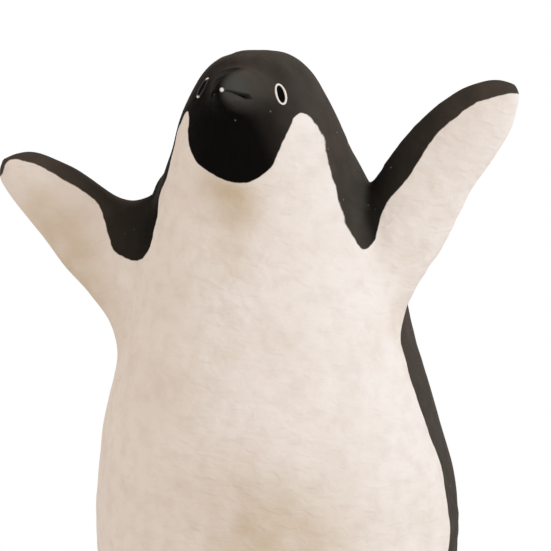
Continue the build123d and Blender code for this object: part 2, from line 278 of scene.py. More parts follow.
def body_distance(points):
    """Distance from the body, whose ovals lie level."""
    x, y, z = np.moveaxis(points, -1, 0)
    return oval_distance(z, x, y, body_table)


# The wings' forms: station, upper edge, lower edge and half thickness, as shares of these sizes
wing_length = 79.0
wing_half_chord = 16.5
wing_half_thickness = 10.0
wing_root_share = 0.253
wing_tip_share = 0.10
left_wing_shares = [
    (0.000, 0.85, -1.15, 1.00),
    (0.127, 0.88, -0.88, 0.94),
    (0.253, 0.90, -0.71, 0.86),
    (0.380, 0.93, -0.655, 0.75),
    (0.506, 0.98, -0.545, 0.64),
    (0.633, 0.99, -0.42, 0.55),
    (0.760, 0.91, -0.38, 0.48),
    (0.861, 0.75, -0.32, 0.40),
    (0.937, 0.54, -0.19, 0.30),
    (0.981, 0.32, -0.05, 0.18),
]
right_wing_shares = [
    (0.000, 0.85, -1.50, 1.00),
    (0.127, 0.92, -1.38, 0.94),
    (0.253, 1.06, -1.08, 0.86),
    (0.380, 1.22, -0.80, 0.75),
    (0.506, 1.22, -0.66, 0.64),
    (0.582, 0.97, -0.60, 0.58),
    (0.684, 0.88, -0.50, 0.52),
    (0.785, 0.80, -0.40, 0.46),
    (0.861, 0.69, -0.34, 0.40),
    (0.937, 0.52, -0.25, 0.30),
    (0.981, 0.28, -0.12, 0.18),
]


def raised_wing(side, lift, out_share, height_share, fillet, shares):
    """A wing's inner end, its directions along and across to the upper edge, its form and its fillet."""
    lift = np.radians(lift)
    along = np.array([side * np.cos(lift), 0, np.sin(lift)])
    across = np.array([-side * np.sin(lift), 0, np.cos(lift)])
    root = np.array([side * out_share * belly_half_width, seam_y, height_share * crown_height])
    rows = [
        (
            station * wing_length,
            (upper - lower) / 2 * wing_half_chord,
            thickness * wing_half_thickness,
            0,
            (upper + lower) / 2 * wing_half_chord,
        )
        for station, upper, lower, thickness in shares
    ]
    rows.append((wing_length, 0, 0, 0, wing_tip_share * wing_half_chord))
    return {
        "inner_end": root - wing_root_share * wing_length * along,
        "along": along,
        "across": across,
        "table": form_table(rows),
        "fillet": fillet,
    }


wings = {
    "left": raised_wing(1, 51.4, 0.660, 0.692, 4.0, left_wing_shares),
    "right": raised_wing(-1, 38.3, 0.661, 0.615, 5.0, right_wing_shares),
}


def wing_distance(points, wing):
    """Distance from a wing, whose ovals stand square to its length and thin out to the tip."""
    offset = points - wing["inner_end"]
    along = offset @ wing["along"]
    form = oval_distance(along, offset @ wing["across"], offset[..., 1], wing["table"])
    return np.maximum(form, -along)


# The beak's form: station, half width and half height as shares of these sizes
beak_length = 22.0
beak_half_width = 7.6
beak_half_height = 6.8
beak_tilt = np.radians(8.0)
mouth_droop = np.radians(10.0)
beak_heading = np.radians(2.5)
beak_height_share = 0.929
beak_start_share = 0.42
beak_fillet = 4.0
top_flatness = 2.3
beak_shares = [
    (0.00, 1.00, 1.00),
    (0.30, 1.00, 1.00),
    (0.50, 0.92, 0.94),
    (0.70, 0.68, 0.74),
    (0.86, 0.42, 0.50),
    (0.96, 0.22, 0.27),
    (1.00, 0.00, 0.00),
]
beak_height = beak_height_share * crown_height
head_square, head_share, head_y, head_x = (
    np.interp(beak_height, body_table[0], column) for column in body_table[1]
)
head_half_depth = np.sqrt(head_square / head_share)
beak_start = np.array([head_x, head_y - beak_start_share * head_half_depth, beak_height])
beak_level = np.array([-np.sin(beak_heading), -np.cos(beak_heading), 0])
beak_along = np.cos(beak_tilt) * beak_level + [0, 0, np.sin(beak_tilt)]
beak_across = np.array([np.cos(beak_heading), -np.sin(beak_heading), 0])
beak_up = np.cross(beak_across, beak_along)
beak_up *= np.sign(beak_up[2])
beak_sizes = (beak_length, beak_half_width, beak_half_height)
beak_rows = curve_through(np.array(beak_shares) * beak_sizes, count=400)


def beak_places(points):
    """Places along the beak from inside the head, across it, and up from its axis."""
    offset = points - beak_start
    return offset @ beak_along, offset @ beak_across, offset @ beak_up


def beak_half_height_at(along):
    """The beak's half height at places along it."""
    return np.interp(along, beak_rows[:, 0], beak_rows[:, 2])


def beak_distance(points):
    """Distance from the beak: how far a point lies from its axis, less the beak's half height there.
    Above the mouth a higher power makes the section broad and flat-topped, and below it is an oval."""
    along, across, up = beak_places(points)
    past_tip = np.maximum(along - beak_length, 0)
    squeeze = beak_half_height / beak_half_width
    power = np.where(up > 0, top_flatness, 2.0)
    spread = np.abs(across) * squeeze
    radius = (spread**power + np.abs(up) ** power + 1e-6) ** (1 / power)
    return np.maximum(radius - beak_half_height_at(along) + past_tip, -along)


# The eyes' places and sizes: each is an oval painted with one thick line, on the side of the head
eye_height, eye_width = 6.5, 3.4
eye_line, eye_paint = 0.60, 0.25
eye_upward = np.radians(24.0)
eye_lean = np.radians(3.0)


def eye_frame(side, height_share, beside_beak):
    """Middle of an eye on the head, and its directions sideways and upright, turned by its lean."""
    height = height_share * crown_height
    square, share, deep, wide = (np.interp(height, body_table[0], column) for column in body_table[1])
    bearing = (beak_half_width + beside_beak) / np.sqrt(square)
    ahead = np.array([side * np.sin(bearing), -np.cos(bearing), 0])
    sideways = np.array([np.cos(bearing), side * np.sin(bearing), 0])
    facing = ahead * np.cos(eye_upward) + np.array([0, 0, np.sin(eye_upward)])
    upright = np.cross(facing, sideways)
    upright *= np.sign(upright[2])
    middle = np.array([wide, deep, height]) + ahead * [np.sqrt(square), np.sqrt(square / share), 0]
    lean = side * eye_lean
    return (
        middle,
        np.cos(lean) * sideways + np.sin(lean) * upright,
        np.cos(lean) * upright - np.sin(lean) * sideways,
    )


eyes = {"left": eye_frame(1, 0.937, 4.4), "right": eye_frame(-1, 0.945, 5.4)}


# The tail's form: station, half width and half height as shares of these sizes
tail_length = 44.0
tail_half_width = 12.5
tail_half_height = 7.5
tail_droop = np.radians(20.0)
tail_height_share = 0.094
tail_start_share = 0.55
tail_fillet = 6.0
tail_shares = [
    (0.00, 1.00, 1.00),
    (0.35, 1.00, 0.92),
    (0.60, 0.86, 0.62),
    (0.80, 0.64, 0.38),
    (0.94, 0.36, 0.22),
]
tail_start = np.array([0, tail_start_share * belly_half_depth, tail_height_share * crown_height])
tail_along = np.array([0, np.cos(tail_droop), -np.sin(tail_droop)])
tail_up = np.array([0, np.sin(tail_droop), np.cos(tail_droop)])
tail_rows = [
    (station * tail_length, wide * tail_half_width, high * tail_half_height, 0, 0)
    for station, wide, high in tail_shares
]
tail_table = form_table([*tail_rows, (tail_length, 0, 0, 0, 0)])


def tail_distance(points):
    """Distance from the tail, a flat form of ovals that thins out as it droops to the table."""
    offset = points - tail_start
    along = offset @ tail_along
    return np.maximum(oval_distance(along, offset[..., 0], offset @ tail_up, tail_table), -along)


def meet(own, other, fillet):
    """Distance from two forms together: the lesser of the two, less a fillet that is a quarter of its
    radius deep where they are equal and fades as the square of how far they part."""
    reach = np.clip(1 - np.abs(own - other) / fillet, 0, 1)
    return np.minimum(own, other) - fillet / 4 * reach**2


def tuck(own, other, fillet):
    """The same, but past the line where the two are equal a form slips under the other, more and more
    steeply, until it is back on its own surface. So two pieces join with no step and no gap."""
    past = np.maximum(own - other, 0)
    return np.minimum(meet(own, other, fillet) + 0.1 * past + 0.25 * past**2, own)


def skin_distance(points):
    """Distance from the whole smooth skin: the body with both wings, the beak and the tail."""
    distance = body_distance(points)
    for wing in wings.values():
        distance = meet(distance, wing_distance(points, wing), wing["fillet"])
    distance = meet(distance, tail_distance(points), tail_fillet)
    return meet(distance, beak_distance(points), beak_fillet)


def slope_of(distance, points, nudge=0.03):
    """How a distance changes from point to point, by differences along each axis."""
    changes = [distance(points + step) - distance(points - step) for step in np.eye(3) * nudge]
    return np.stack(changes, axis=-1) / (2 * nudge)


def settle(points, distance, steps=6):
    """Moves points on to the surface where a distance is zero, by Newton's method along its slope."""
    for _ in range(steps):
        slope = slope_of(distance, points)
        move = distance(points) / np.maximum((slope**2).sum(-1), 0.25)
        points = points - np.clip(move, -2, 2)[..., None] * slope
    return points


def reach(origins, directions, distance, near, far, halvings=22):
    """Where rays cross a surface: the span from a near place inside it to a far place outside it is halved
    again and again, and the half that the surface is in is kept."""
    near = np.zeros(directions.shape[:-1]) + near
    far = np.zeros(directions.shape[:-1]) + far
    for _ in range(halvings):
        middle = (near + far) / 2
        beyond = distance(origins + middle[..., None] * directions) > 0
        near = np.where(beyond, near, middle)
        far = np.where(beyond, middle, far)
    return origins + far[..., None] * directions


def soft_noise(points, size, seed, cubes=32):
    """Smooth random heights from -1 to 1: a random value at each corner of cubes of this size, blended
    inside a cube with eased weights, and repeated after so many cubes."""
    lattice = np.random.default_rng(seed).uniform(-1, 1, (cubes, cubes, cubes))
    corner = np.floor(points / size).astype(int)
    inside = points / size - corner
    eased = inside * inside * (3 - 2 * inside)
    height = np.zeros(points.shape[:-1])
    for step in np.ndindex(2, 2, 2):
        weight = np.where(np.array(step, bool), eased, 1 - eased).prod(-1)
        cells = np.moveaxis((corner + step) % cubes, -1, 0)
        height += weight * lattice[tuple(cells)]
    return height


lump_height, lump_size = 0.30, 13.0
dent_depth, dent_size = 0.14, 5.0
crease_depth, crease_length, crease_width = 0.15, 4.6, 1.9
crease_patch, patch_middle, patch_sway, patch_least = 17.0, 0.35, 1.2, 0.1
down_slant = np.array([0.8, 0.0, -0.6])
over_slant = np.array([0.6, 0.0, 0.8])
# Where a thumb pressed the wet pulp in, or left it full: middle, radius and height
thumb_marks = np.array(
    [
        (-39.5, -6, 140, 5.5, -1.7), (-34.0, -6, 143.5, 4.5, 2.2),
        (-45.5, -6, 103, 11.0, -0.8), (-48.0, -6, 76, 11.0, 0.6),
        (40.6, -6, 108, 7.0, -1.0), (43.5, -6, 93, 9.0, -0.4),
    ]
)


def relief(points):
    """Height of the hand-smoothed pulp over the smooth form: broad lumps, smaller dents, wrinkles of wet
    tissue, which are a noise drawn out down the slant and come in patches, and thumb marks, each a round
    bell of its own height."""
    lumps = soft_noise(points, lump_size, 11)
    dents = soft_noise(points, dent_size, 12)
    drawn = [
        points @ down_slant / crease_length,
        points @ over_slant / crease_width,
        points[..., 1] / crease_length,
    ]
    creases = soft_noise(np.stack(drawn, -1), 1.0, 13)
    patches = patch_middle + patch_sway * soft_noise(points, crease_patch, 14)
    patches = np.clip(patches, patch_least, 1)
    height = lump_height * lumps + dent_depth * dents + crease_depth * creases * patches
    for x, y, z, radius, mark_height in thumb_marks:
        gap = ((points - [x, y, z]) ** 2).sum(-1)
        height += mark_height * np.exp(-gap / radius**2)
    return height


def rough_distance(points):
    """Distance from the skin with its relief."""
    return skin_distance(points) - relief(points)


def outward(distance, points):
    """Unit vectors square to a distance's surfaces."""
    slope = slope_of(distance, points)
    return slope / np.maximum(np.linalg.norm(slope, axis=-1, keepdims=True), 1e-6)


def roughen(points, held):
    """Moves skin points out by the relief. Held marks the directions, for each point, in which it may not
    move, so that halves still meet in their plane and the bottom stays flat."""
    push = outward(skin_distance, points) * relief(points)[..., None]
    return points + np.where(held, 0, push)


# Outline of the white in front view, across and up, where it bends: along the left wing's band, round the
# shoulder and up the neck, under the face and the bib, down the neck, and out along the right wing's band
white_outline = np.array(
    [
        (92, -10), (92, 150), (73, 168.5), (70.5, 170.5), (67.5, 170.5), (60, 168), (51, 161.5),
        (45.5, 155), (41.5, 148), (36, 141.5), (33.5, 136), (32.5, 130.5), (30.5, 128), (28, 131),
        (25, 137.5), (22.5, 145.5), (20, 155), (18, 161.5), (14, 165.5), (12.5, 162.5), (10, 155.5),
        (8, 151), (6, 149), (2, 147), (-4.5, 147), (-9, 149), (-14.5, 153), (-16.5, 157), (-17, 160.5),
        (-17, 163.5), (-18, 165.5), (-20, 163.5), (-22, 159.5), (-24.5, 150.5), (-26, 146), (-28, 142),
        (-28, 136.5), (-29, 130.5), (-29.5, 128), (-31, 125.5), (-34, 123.5), (-38, 123),
        (-42.5, 124.5), (-45, 128.5), (-46.5, 133), (-49, 137.5), (-54.5, 142), (-62.5, 146),
        (-66.5, 148), (-71.5, 149.5), (-75.5, 150), (-77.5, 149), (-79, 146), (-80.5, 144.5),
        (-92, 136), (-92, -10),
    ]
)
# Where the white ends on the flanks: heights, and how far back it runs
flank_line = np.array(
    [
        (0, -5.5), (46, -4), (57, -5), (66, -5), (76, -8.5), (84, -10), (102, -10), (106, -8),
        (110, -4.5), (200, -4.5),
    ]
)
right_flank_drop = 8.0
brushed_edge = curve_through(white_outline[2:-2], count=240)
white_edge = np.concatenate([white_outline[:2], brushed_edge, white_outline[-2:]])


def past_white(points):
    """Distance past the edge of the white, on the front view's outline or behind the flank's line,
    whichever is more. The nearest of the outline's runs gives the distance, and a point is inside where an
    odd number of runs is crossed on the way out."""
    x, y, z = np.moveaxis(points, -1, 0)
    gap = np.full(x.shape, np.inf)
    inside = np.zeros(x.shape, bool)
    for start, end in zip(white_edge, np.roll(white_edge, -1, axis=0)):
        run, rise = end - start
        across, up = x - start[0], z - start[1]
        share = np.clip((across * run + up * rise) / (run**2 + rise**2), 0, 1)
        gap = np.minimum(gap, np.hypot(across - share * run, up - share * rise))
        level = (up < 0) != (up < rise)
        inside ^= level & (across < up * (run / rise if rise else 0))
    drop = np.where(x < 0, right_flank_drop, 0)
    behind = y - np.interp(z + drop, *flank_line.T)
    return np.maximum(np.where(inside, -gap, gap), behind)


# Dust and painted light on the black: paler towards the penguin's left, the lit side, and towards what
# looks up and back.
dust_and_light_way = np.array([0.55, 1.1, 0.3])
dust_and_light_level = 0.9
handled_from, handled_to = 26.0, 66.0


def dust_and_light_on(points, normals):
    """How much paler and browner the black is, partly from dust and partly as painted light: none on the
    throat and the face, which look forward and down and stay darkest as painted shade, more on what looks
    up and what looks back, where dust settles and light is painted, more on the penguin's left, the lit
    side, as painted light, and more and more out along the wings, where it is handled."""
    settled_and_lit = dust_and_light_level + normals @ dust_and_light_way
    handled_and_sheen = (np.abs(points[:, 0]) - handled_from) / (handled_to - handled_from)
    return np.clip(np.maximum(settled_and_lit, handled_and_sheen), 0, 1)


pupil_edge, pupil_fade = 1.15, 0.3


def pupil_on(points):
    """How far inside the oval of an eye a point is, where the black is fresh and deepest."""
    pupil_and_groove_shade = np.zeros(len(points))
    for middle, sideways, upright in eyes.values():
        offset = points - middle
        near = np.linalg.norm(offset, axis=-1) < eye_height
        across = offset @ sideways / (eye_width - eye_line)
        out = 2 * np.hypot(across, offset @ upright / (eye_height - eye_line))
        pupil_and_groove_shade += near * np.clip((pupil_edge - out) / pupil_fade, 0, 1)
    return pupil_and_groove_shade


# Painted shade on the white, across and up with a radius and a strength: under the bib, low on the
# belly, and along the right wing's lower edge
painted_shade_patches = np.array(
    [
        (-2, 140, 7, 0.95), (-9, 146, 5, 0.4), (0, 127, 6, 0.35), (12, 50, 20, 0.7),
        (-67, 134, 8, 0.4), (-58, 128, 10, 0.6), (-53, 116, 9, 0.45), (-16, 92, 8, 0.2),
    ]
)
shade_patch_middle, shade_patch_sway, shade_patch_size, shade_patch_most = 0.85, 0.35, 5.0, 0.9


def painted_shade_on(points):
    """Painted shade on the white: a soft round patch at each place in front view, broken up by a noise."""
    gap = np.hypot(points[:, :1] - painted_shade_patches[:, 0], points[:, 2:] - painted_shade_patches[:, 1]) / painted_shade_patches[:, 2]
    patches = np.exp(-(gap**2)) @ painted_shade_patches[:, 3]
    broken = shade_patch_middle + shade_patch_sway * soft_noise(points, shade_patch_size, 15)
    return np.clip(patches * broken, 0, shade_patch_most)


def build_mesh(name, points, quads, is_skin, normals, marks):
    """Puts a closed surface into a new object. Points that coincide become one, corners that repeat and
    faces folded flat on themselves are dropped, and all faces turn if the volume inside comes out
    negative. Skin faces get the given normals, and the others are flat. Marks become point attributes."""
    _, first, merged = np.unique(np.round(points, 4), axis=0, return_index=True, return_inverse=True)
    corners = merged.reshape(-1)[quads]
    volume = 0
    for second, third in ((1, 2), (2, 3)):
        a, b, c = (points[quads[:, corner]] for corner in (0, second, third))
        volume += (a * np.cross(b, c)).sum()
    if volume < 0:
        corners = corners[:, ::-1]
    kept = corners != np.roll(corners, 1, axis=1)
    folded = (corners[:, 0] == corners[:, 2]) | (corners[:, 1] == corners[:, 3])
    whole = (kept.sum(1) >= 3) & ~folded
    corners, kept, is_skin = corners[whole], kept[whole], is_skin[whole]
    loops = corners[kept]
    sizes = kept.sum(1)
    mesh = bpy.data.meshes.new(name)
    mesh.vertices.add(len(first))
    mesh.vertices.foreach_set("co", (points[first] * millimetre).ravel())
    mesh.loops.add(len(loops))
    mesh.loops.foreach_set("vertex_index", loops)
    mesh.polygons.add(len(sizes))
    mesh.polygons.foreach_set("loop_start", np.concatenate([[0], np.cumsum(sizes)[:-1]]))
    mesh.polygons.foreach_set("use_smooth", is_skin)
    mesh.update(calc_edges=True)
    for mark, values in marks.items():
        mesh.attributes.new(mark, "FLOAT", "POINT").data.foreach_set("value", values[first])
    shading = normals[first][loops] * np.repeat(is_skin, sizes)[:, None]
    mesh.normals_split_custom_set(shading)
    piece = bpy.data.objects.new(name, mesh)
    bpy.context.collection.objects.link(piece)
    return piece


def wrap_rows(rows, columns):
    """Quads between rows of points, each row closed on itself."""
    row, column = np.mgrid[0 : rows - 1, 0:columns]
    after = (column + 1) % columns
    quads = [row * columns + column, row * columns + after]
    quads += [(row + 1) * columns + after, (row + 1) * columns + column]
    return np.stack(quads, -1).reshape(-1, 4)


def painted_paper():
    """Two flat acrylic coats over papier-mache, both almost without a highlight. The warm white is thin, so
    it is mottled, and it is browner in its furrows and darker in patches, both painted shade. The black
    goes over it where the point attribute past_white is above zero, with an edge that a small brush has
    left uneven, faint streaks, and pale specks where it missed a pit. It is browner and paler with dust and
    with painted light on its lit side, grey with a painted sheen on the beak, blackest in the pupils and as
    painted shade in the mouth's groove, and has a painted white glint on the beak's tip. Noise sizes are
    millimetres."""
    name = "brushed_acrylic_on_papier_mache"
    material, tree, shader, place = new_material(name, roughness=0.62, ior=1.46)
    shader.inputs["Specular IOR Level"].default_value = 0.03
    marks = ("past_white", "rise", "dust_and_light", "painted_shade", "pupil_and_groove_shade", "handled_and_sheen", "painted_glint")
    past, rise, dust_and_light, painted_shade, pupil_and_groove_shade, handled_and_sheen, painted_glint = (
        add_node(tree, "Attribute", "Fac", attribute_name=mark) for mark in marks
    )
    noises = ((6.5, 2.0), (1.6, 2.0), (16.0, 4.0), (4.5, 3.0), (7.0, 3.0), (0.9, 5.0))
    wander, ragged, mottle, blotches, patches, grain = (
        add_node(
            tree, "TexNoise", "Fac", {"Vector": place, "Scale": 1 / (size * millimetre), "Detail": detail}
        )
        for size, detail in noises
    )
    moved = add_node(tree, "Math", 0, {0: wander, 1: 1.5, 2: past}, operation="MULTIPLY_ADD")
    moved = add_node(tree, "Math", 0, {0: ragged, 1: 0.25, 2: moved}, operation="MULTIPLY_ADD")
    black = add_node(tree, "MapRange", "Result", {"Value": moved, "From Min": 0.74, "From Max": 1.01})

    thin = {"Value": blotches, "From Min": 0.45, "From Max": 0.75, "To Max": 0.35}
    thin = add_node(tree, "MapRange", "Result", thin)
    # Painted shade: the white darker and browner in the low furrows of the relief, and in the painted shade
    # patches.
    furrow_shade = {"Value": rise, "From Min": -0.10, "From Max": -0.42, "To Max": 0.22}
    furrow_shade = add_node(tree, "MapRange", "Result", furrow_shade)
    white = {0: mottle, 6: linear("f8f3ef"), 7: linear("ebe2d9")}
    white = add_node(tree, "Mix", 2, white, data_type="RGBA")
    for share, tone in ((thin, "dccfc3"), (painted_shade, "cbb798"), (furrow_shade, "d9c8b0")):
        white = add_node(tree, "Mix", 2, {0: share, 6: white, 7: linear(tone)}, data_type="RGBA")

    streak_width, pit_gap = 1.6, 3.0
    streaks = add_node(tree, "Mapping", "Vector", {"Vector": place, "Scale": (1.0, 1.0, 0.25)})
    streaks = {"Vector": streaks, "Scale": 1 / (streak_width * millimetre), "Detail": 4.0}
    streaks = add_node(tree, "TexNoise", "Fac", streaks)
    # The paler brown-grey of the black, laid on by dust and by painted light on the lit side.
    worn = {0: mottle, 6: linear("464541"), 7: linear("564b42")}
    worn = add_node(tree, "Mix", 2, worn, data_type="RGBA")
    patches = {"Value": patches, "From Min": 0.2, "From Max": 0.8, "To Min": 0.6}
    patches = add_node(tree, "MapRange", "Result", patches)
    settled_and_lit = add_node(tree, "Math", 0, {0: dust_and_light, 1: patches}, operation="MULTIPLY", use_clamp=True)
    pits = add_node(tree, "TexVoronoi", "Color", {"Vector": place, "Scale": 1 / (pit_gap * millimetre)})
    bare = add_node(tree, "Math", 0, {0: pits, 1: 0.70}, operation="GREATER_THAN")
    speck = {"Value": pits.node.outputs["Distance"], "From Min": 0.12, "From Max": 0.02, "To Max": 0.4}
    speck = add_node(tree, "MapRange", "Result", speck)
    speck = add_node(tree, "Math", 0, {0: speck, 1: bare}, operation="MULTIPLY")
    # Painted sheen: a grey over the black on the beak's lit side towards its tip.
    painted_sheen = add_node(tree, "MapRange", "Result", {"Value": handled_and_sheen, "From Max": 0.6, "To Max": 0.85})
    coat = {0: streaks, 6: linear("080807"), 7: linear("100f0e")}
    coat = add_node(tree, "Mix", 2, coat, data_type="RGBA")
    # Over the black: dust and painted light, pale specks, painted sheen, the blackest pupils with painted
    # shade in the mouth's groove, and a painted white glint.
    for share, tone in (
        (settled_and_lit, worn),
        (speck, linear("b5ada2")),
        (painted_sheen, linear("464743")),
        (pupil_and_groove_shade, linear("050505")),
        (painted_glint, linear("f2efe9")),
    ):
        coat = add_node(tree, "Mix", 2, {0: share, 6: coat, 7: tone}, data_type="RGBA")

    wrinkle_size, bump_depth = 4.6, 0.12
    colour = add_node(tree, "Mix", 2, {0: black, 6: white, 7: coat}, data_type="RGBA")
    roughness = add_node(tree, "MapRange", "Result", {"Value": grain, "To Min": 0.50, "To Max": 0.70})
    slanted = {"Vector": place, "Rotation": (0, 0.6, 0), "Scale": (1.0, 1.0, 1.9)}
    slanted = add_node(tree, "Mapping", "Vector", slanted)
    wrinkles = {"Scale": 1 / (wrinkle_size * millimetre), "Detail": 1.2, "Distortion": 0.6}
    wrinkles = add_node(tree, "TexNoise", "Fac", {"Vector": slanted, **wrinkles})
    height = add_node(tree, "Math", 0, {0: wrinkles, 1: 8.0, 2: grain}, operation="MULTIPLY_ADD")
    bump = {"Height": height, "Strength": 0.5, "Distance": bump_depth * millimetre}
    bump = add_node(tree, "Bump", "Normal", bump)
    wire(tree, shader, {"Base Color": colour, "Roughness": roughness, "Normal": bump})
    return material


paint_on_paper = painted_paper()


def paper_piece(name, points, quads, is_skin, normals, marks):
    """A piece of painted paper, with what its paint reads at each point: its rise, its dust and painted
    light, and marks of its own, which may take the place of these."""
    marks = {"rise": relief(points), "dust_and_light": dust_and_light_on(points, normals), **marks}
    piece = build_mesh(name, points, quads, is_skin, normals, marks)
    piece.data.materials.append(paint_on_paper)
    return piece


def front_marks(points):
    """Where the body and the wings are black, where shade is painted on the white, and the pupils."""
    return {"past_white": past_white(points), "painted_shade": painted_shade_on(points), "pupil_and_groove_shade": pupil_on(points)}


def seat(piece, node):
    """Puts a piece in the place of its plain solid, which is hidden, and hangs the piece on the root."""
    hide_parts(node)
    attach(piece, "root")


def body_field(points):
    """Distance from the body's own skin, which slips under the wings, the tail and the beak."""
    distance = body_distance(points)
    for wing in wings.values():
        distance = tuck(distance, wing_distance(points, wing), wing["fillet"])
    distance = tuck(distance, tail_distance(points), tail_fillet)
    return tuck(distance, beak_distance(points), beak_fillet)


def inner_wall(points):
    """Distance from the inside of the paper shell."""
    return body_distance(points) + shell_wall


shell_cell = 0.9
fan_height = 150.0
level_rows = round(fan_height / shell_cell)
fan_rows = 56
shell_columns = 171
farthest = 90.0
skin_room, fillet_room = 0.5, 14.0


def body_shell(name, first_bearing):
    """Half of the body. Rays leave the upright line in the seam's plane at one height for each row, and
    above the neck they fan up to the crown from one point, so the last row is a pole. The outer and inner
    skins are where the rays cross them. A row's loop runs out along one and back along the other."""
    heights = np.concatenate([np.arange(level_rows) * shell_cell, np.full(fan_rows, fan_height)])
    tilts = np.concatenate([np.zeros(level_rows), np.linspace(0, np.pi / 2, fan_rows)])
    bearings = np.radians(np.linspace(first_bearing, first_bearing + 180, shell_columns))
    tilts, bearings = np.meshgrid(tilts, bearings, indexing="ij")
    level = np.cos(tilts)
    directions = np.stack([np.sin(bearings) * level, -np.cos(bearings) * level, np.sin(tilts)], axis=-1)
    origins = np.zeros_like(directions)
    origins[..., 1] = seam_y
    origins[..., 2] = heights[:, None]
    smooth = reach(origins, directions, body_distance, 0, farthest)
    base = np.linalg.norm(smooth - origins, axis=-1)
    outer = reach(origins, directions, body_field, base - skin_room, base + fillet_room)
    held = np.zeros(outer.shape, bool)
    held[:, [0, -1], 1] = True
    held[0, :, 2] = True
    held[-1, :, :2] = True
    outer = roughen(outer, held)
    outer[..., 2] = np.maximum(outer[..., 2], 0)
    inner = reach(origins, directions, inner_wall, 0, farthest)
    points = np.concatenate([outer, inner[:, ::-1]], axis=1)
    rows, columns = points.shape[:2]
    quads = wrap_rows(rows, columns)
    is_skin = np.tile(np.arange(columns) < shell_columns - 1, rows - 1)
    near = np.arange(shell_columns - 1)
    rim = np.stack([near + 1, near, columns - 1 - near, columns - 2 - near], axis=-1)
    points = points.reshape(-1, 3)
    quads = np.concatenate([quads, rim])
    is_skin = np.append(is_skin, np.zeros(len(rim), bool))
    return paper_piece(name, points, quads, is_skin, outward(rough_distance, points), front_marks(points))


for node, first_bearing, finish in (
    ("front_shell", -90, "white_painted_paper"),
    ("back_shell", 90, "black_painted_paper"),
):
    seat(body_shell(f"{node}_skin", first_bearing), node)


# Wings: paper pulp laid over both faces of a card blade and smoothed on to the shoulders. The front is
# white with a black leading edge, and the back is black.

card_thickness = 3.0
card_inset = 4.0
card_room = 0.1
card_first, card_last = 0.253, 0.937
card_ledge_share = 0.2
wing_first_row, wing_row_gap = 0.5, 0.6
wing_columns = 60
wing_skin_room = 0.4


def closed_tube(first, rows):
    """Rows of points with a flat fan round one point before them, which is that point repeated as a row.
    Gives the points as one list, the quads, and which of the quads aren't in the fan."""
    points = np.concatenate([np.zeros_like(rows[:1]) + first, rows])
    quads = wrap_rows(*points.shape[:2])
    return points.reshape(-1, 3), quads, np.arange(len(quads)) >= points.shape[1]


def wing_skin(name, wing, shares, back):
    """One face of a wing. A row is half of an oval's rim, reached by rays from the middle of the section,
    and it comes back along the plane of the seam with a step down to the card. Rows are spaced by the
    distance over the skin, so that they close up towards the tip, and both ends are points."""
    even, columns, _ = wing["table"]
    shown = (even > 0) & (even < wing_length) & (columns[0] > 0)
    lengths = even[shown]
    half_chords = np.sqrt(columns[0][shown])
    travelled = np.concatenate([[0], np.cumsum(np.hypot(np.diff(lengths), np.diff(half_chords)))])
    count = round(travelled[-1] / wing_row_gap)
    stations = np.interp(np.linspace(0, travelled[-1], count), travelled, lengths)
    stations[0] = wing_first_row
    square, share, _, chord_middle = (np.interp(stations, even, column)[:, None] for column in columns)
    half_chord = np.sqrt(np.maximum(square, 0))
    half_thick = half_chord / np.sqrt(share)
    turn = np.linspace(0, np.pi, wing_columns)
    side = 1 if back else -1
    across = half_chord * np.cos(turn)
    depth = side * half_thick * np.sin(turn)
    length = np.maximum(np.hypot(across, depth), 1e-6)
    spine = wing["inner_end"] + stations[:, None, None] * wing["along"]
    middles = spine + chord_middle[..., None] * wing["across"] + np.zeros((1, wing_columns, 1))
    directions = (across[..., None] * wing["across"] + depth[..., None] * [0, 1, 0]) / length[..., None]

    def wing_field(points):
        return tuck(wing_distance(points, wing), body_distance(points), wing["fillet"])

    outer = reach(middles, directions, wing_field, length - wing_skin_room, length + fillet_room)
    held = np.zeros(outer.shape, bool)
    held[:, [0, -1], 1] = True
    outer = roughen(outer, held)
    outer[-1] = outer[-1].mean(0)
    outer[-1, :, 1] = seam_y

    edges = np.array([row for row in shares if card_first <= row[0] <= card_last])
    ends = edges[:, 0] * wing_length
    low = np.interp(stations, ends, edges[:, 2]) * wing_half_chord + card_inset - card_room
    high = np.interp(stations, ends, edges[:, 1]) * wing_half_chord - card_inset + card_room
    has_card = (stations > ends[0] - 1) & (stations < ends[-1] + 1)
    step = np.where(has_card, card_thickness / 2 + card_room, 0) * side
    start, end = ((outer[:, place] - wing["inner_end"]) @ wing["across"] for place in (-1, 0))
    ledge = card_ledge_share * (end - start)
    low = np.clip(low, start + ledge, end)
    high = np.clip(high, low, end - ledge)
    places = np.stack([low, low, (low + high) / 2, high, high], axis=1)
    steps = np.stack([0 * step, step, step, step, 0 * step], axis=1)
    inner = spine + places[..., None] * wing["across"]
    inner[..., 1] = seam_y + steps
    inner[-1] = outer[-1, :1]
    rows = np.concatenate([outer, inner], axis=1)
    points, quads, is_skin = closed_tube(rows[0].mean(0), rows)
    is_skin &= np.tile(np.arange(rows.shape[1]) < wing_columns - 1, len(rows))
    return paper_piece(name, points, quads, is_skin, outward(rough_distance, points), front_marks(points))


for side, shares in (("left", left_wing_shares), ("right", right_wing_shares)):
    for face, finish in (("front", "white_painted_paper"), ("back", "black_painted_paper")):
        skin = wing_skin(f"{side}_wing_{face}_face", wings[side], shares, back=face == "back")
        seat(skin, f"{side}_wing_{face}_skin")


# Beak: paper pulp modelled on to the head in one lump and scored along the mouth while wet. It has the
# head's black paint, with a painted cold grey sheen on its lit side towards the tip, and a painted white
# glint on the tip.

mouth_depth = 1.4
mouth_half_width = 0.9
mouth_thin = 0.45
mouth_corner = 13.6
corner_reach = 1.6


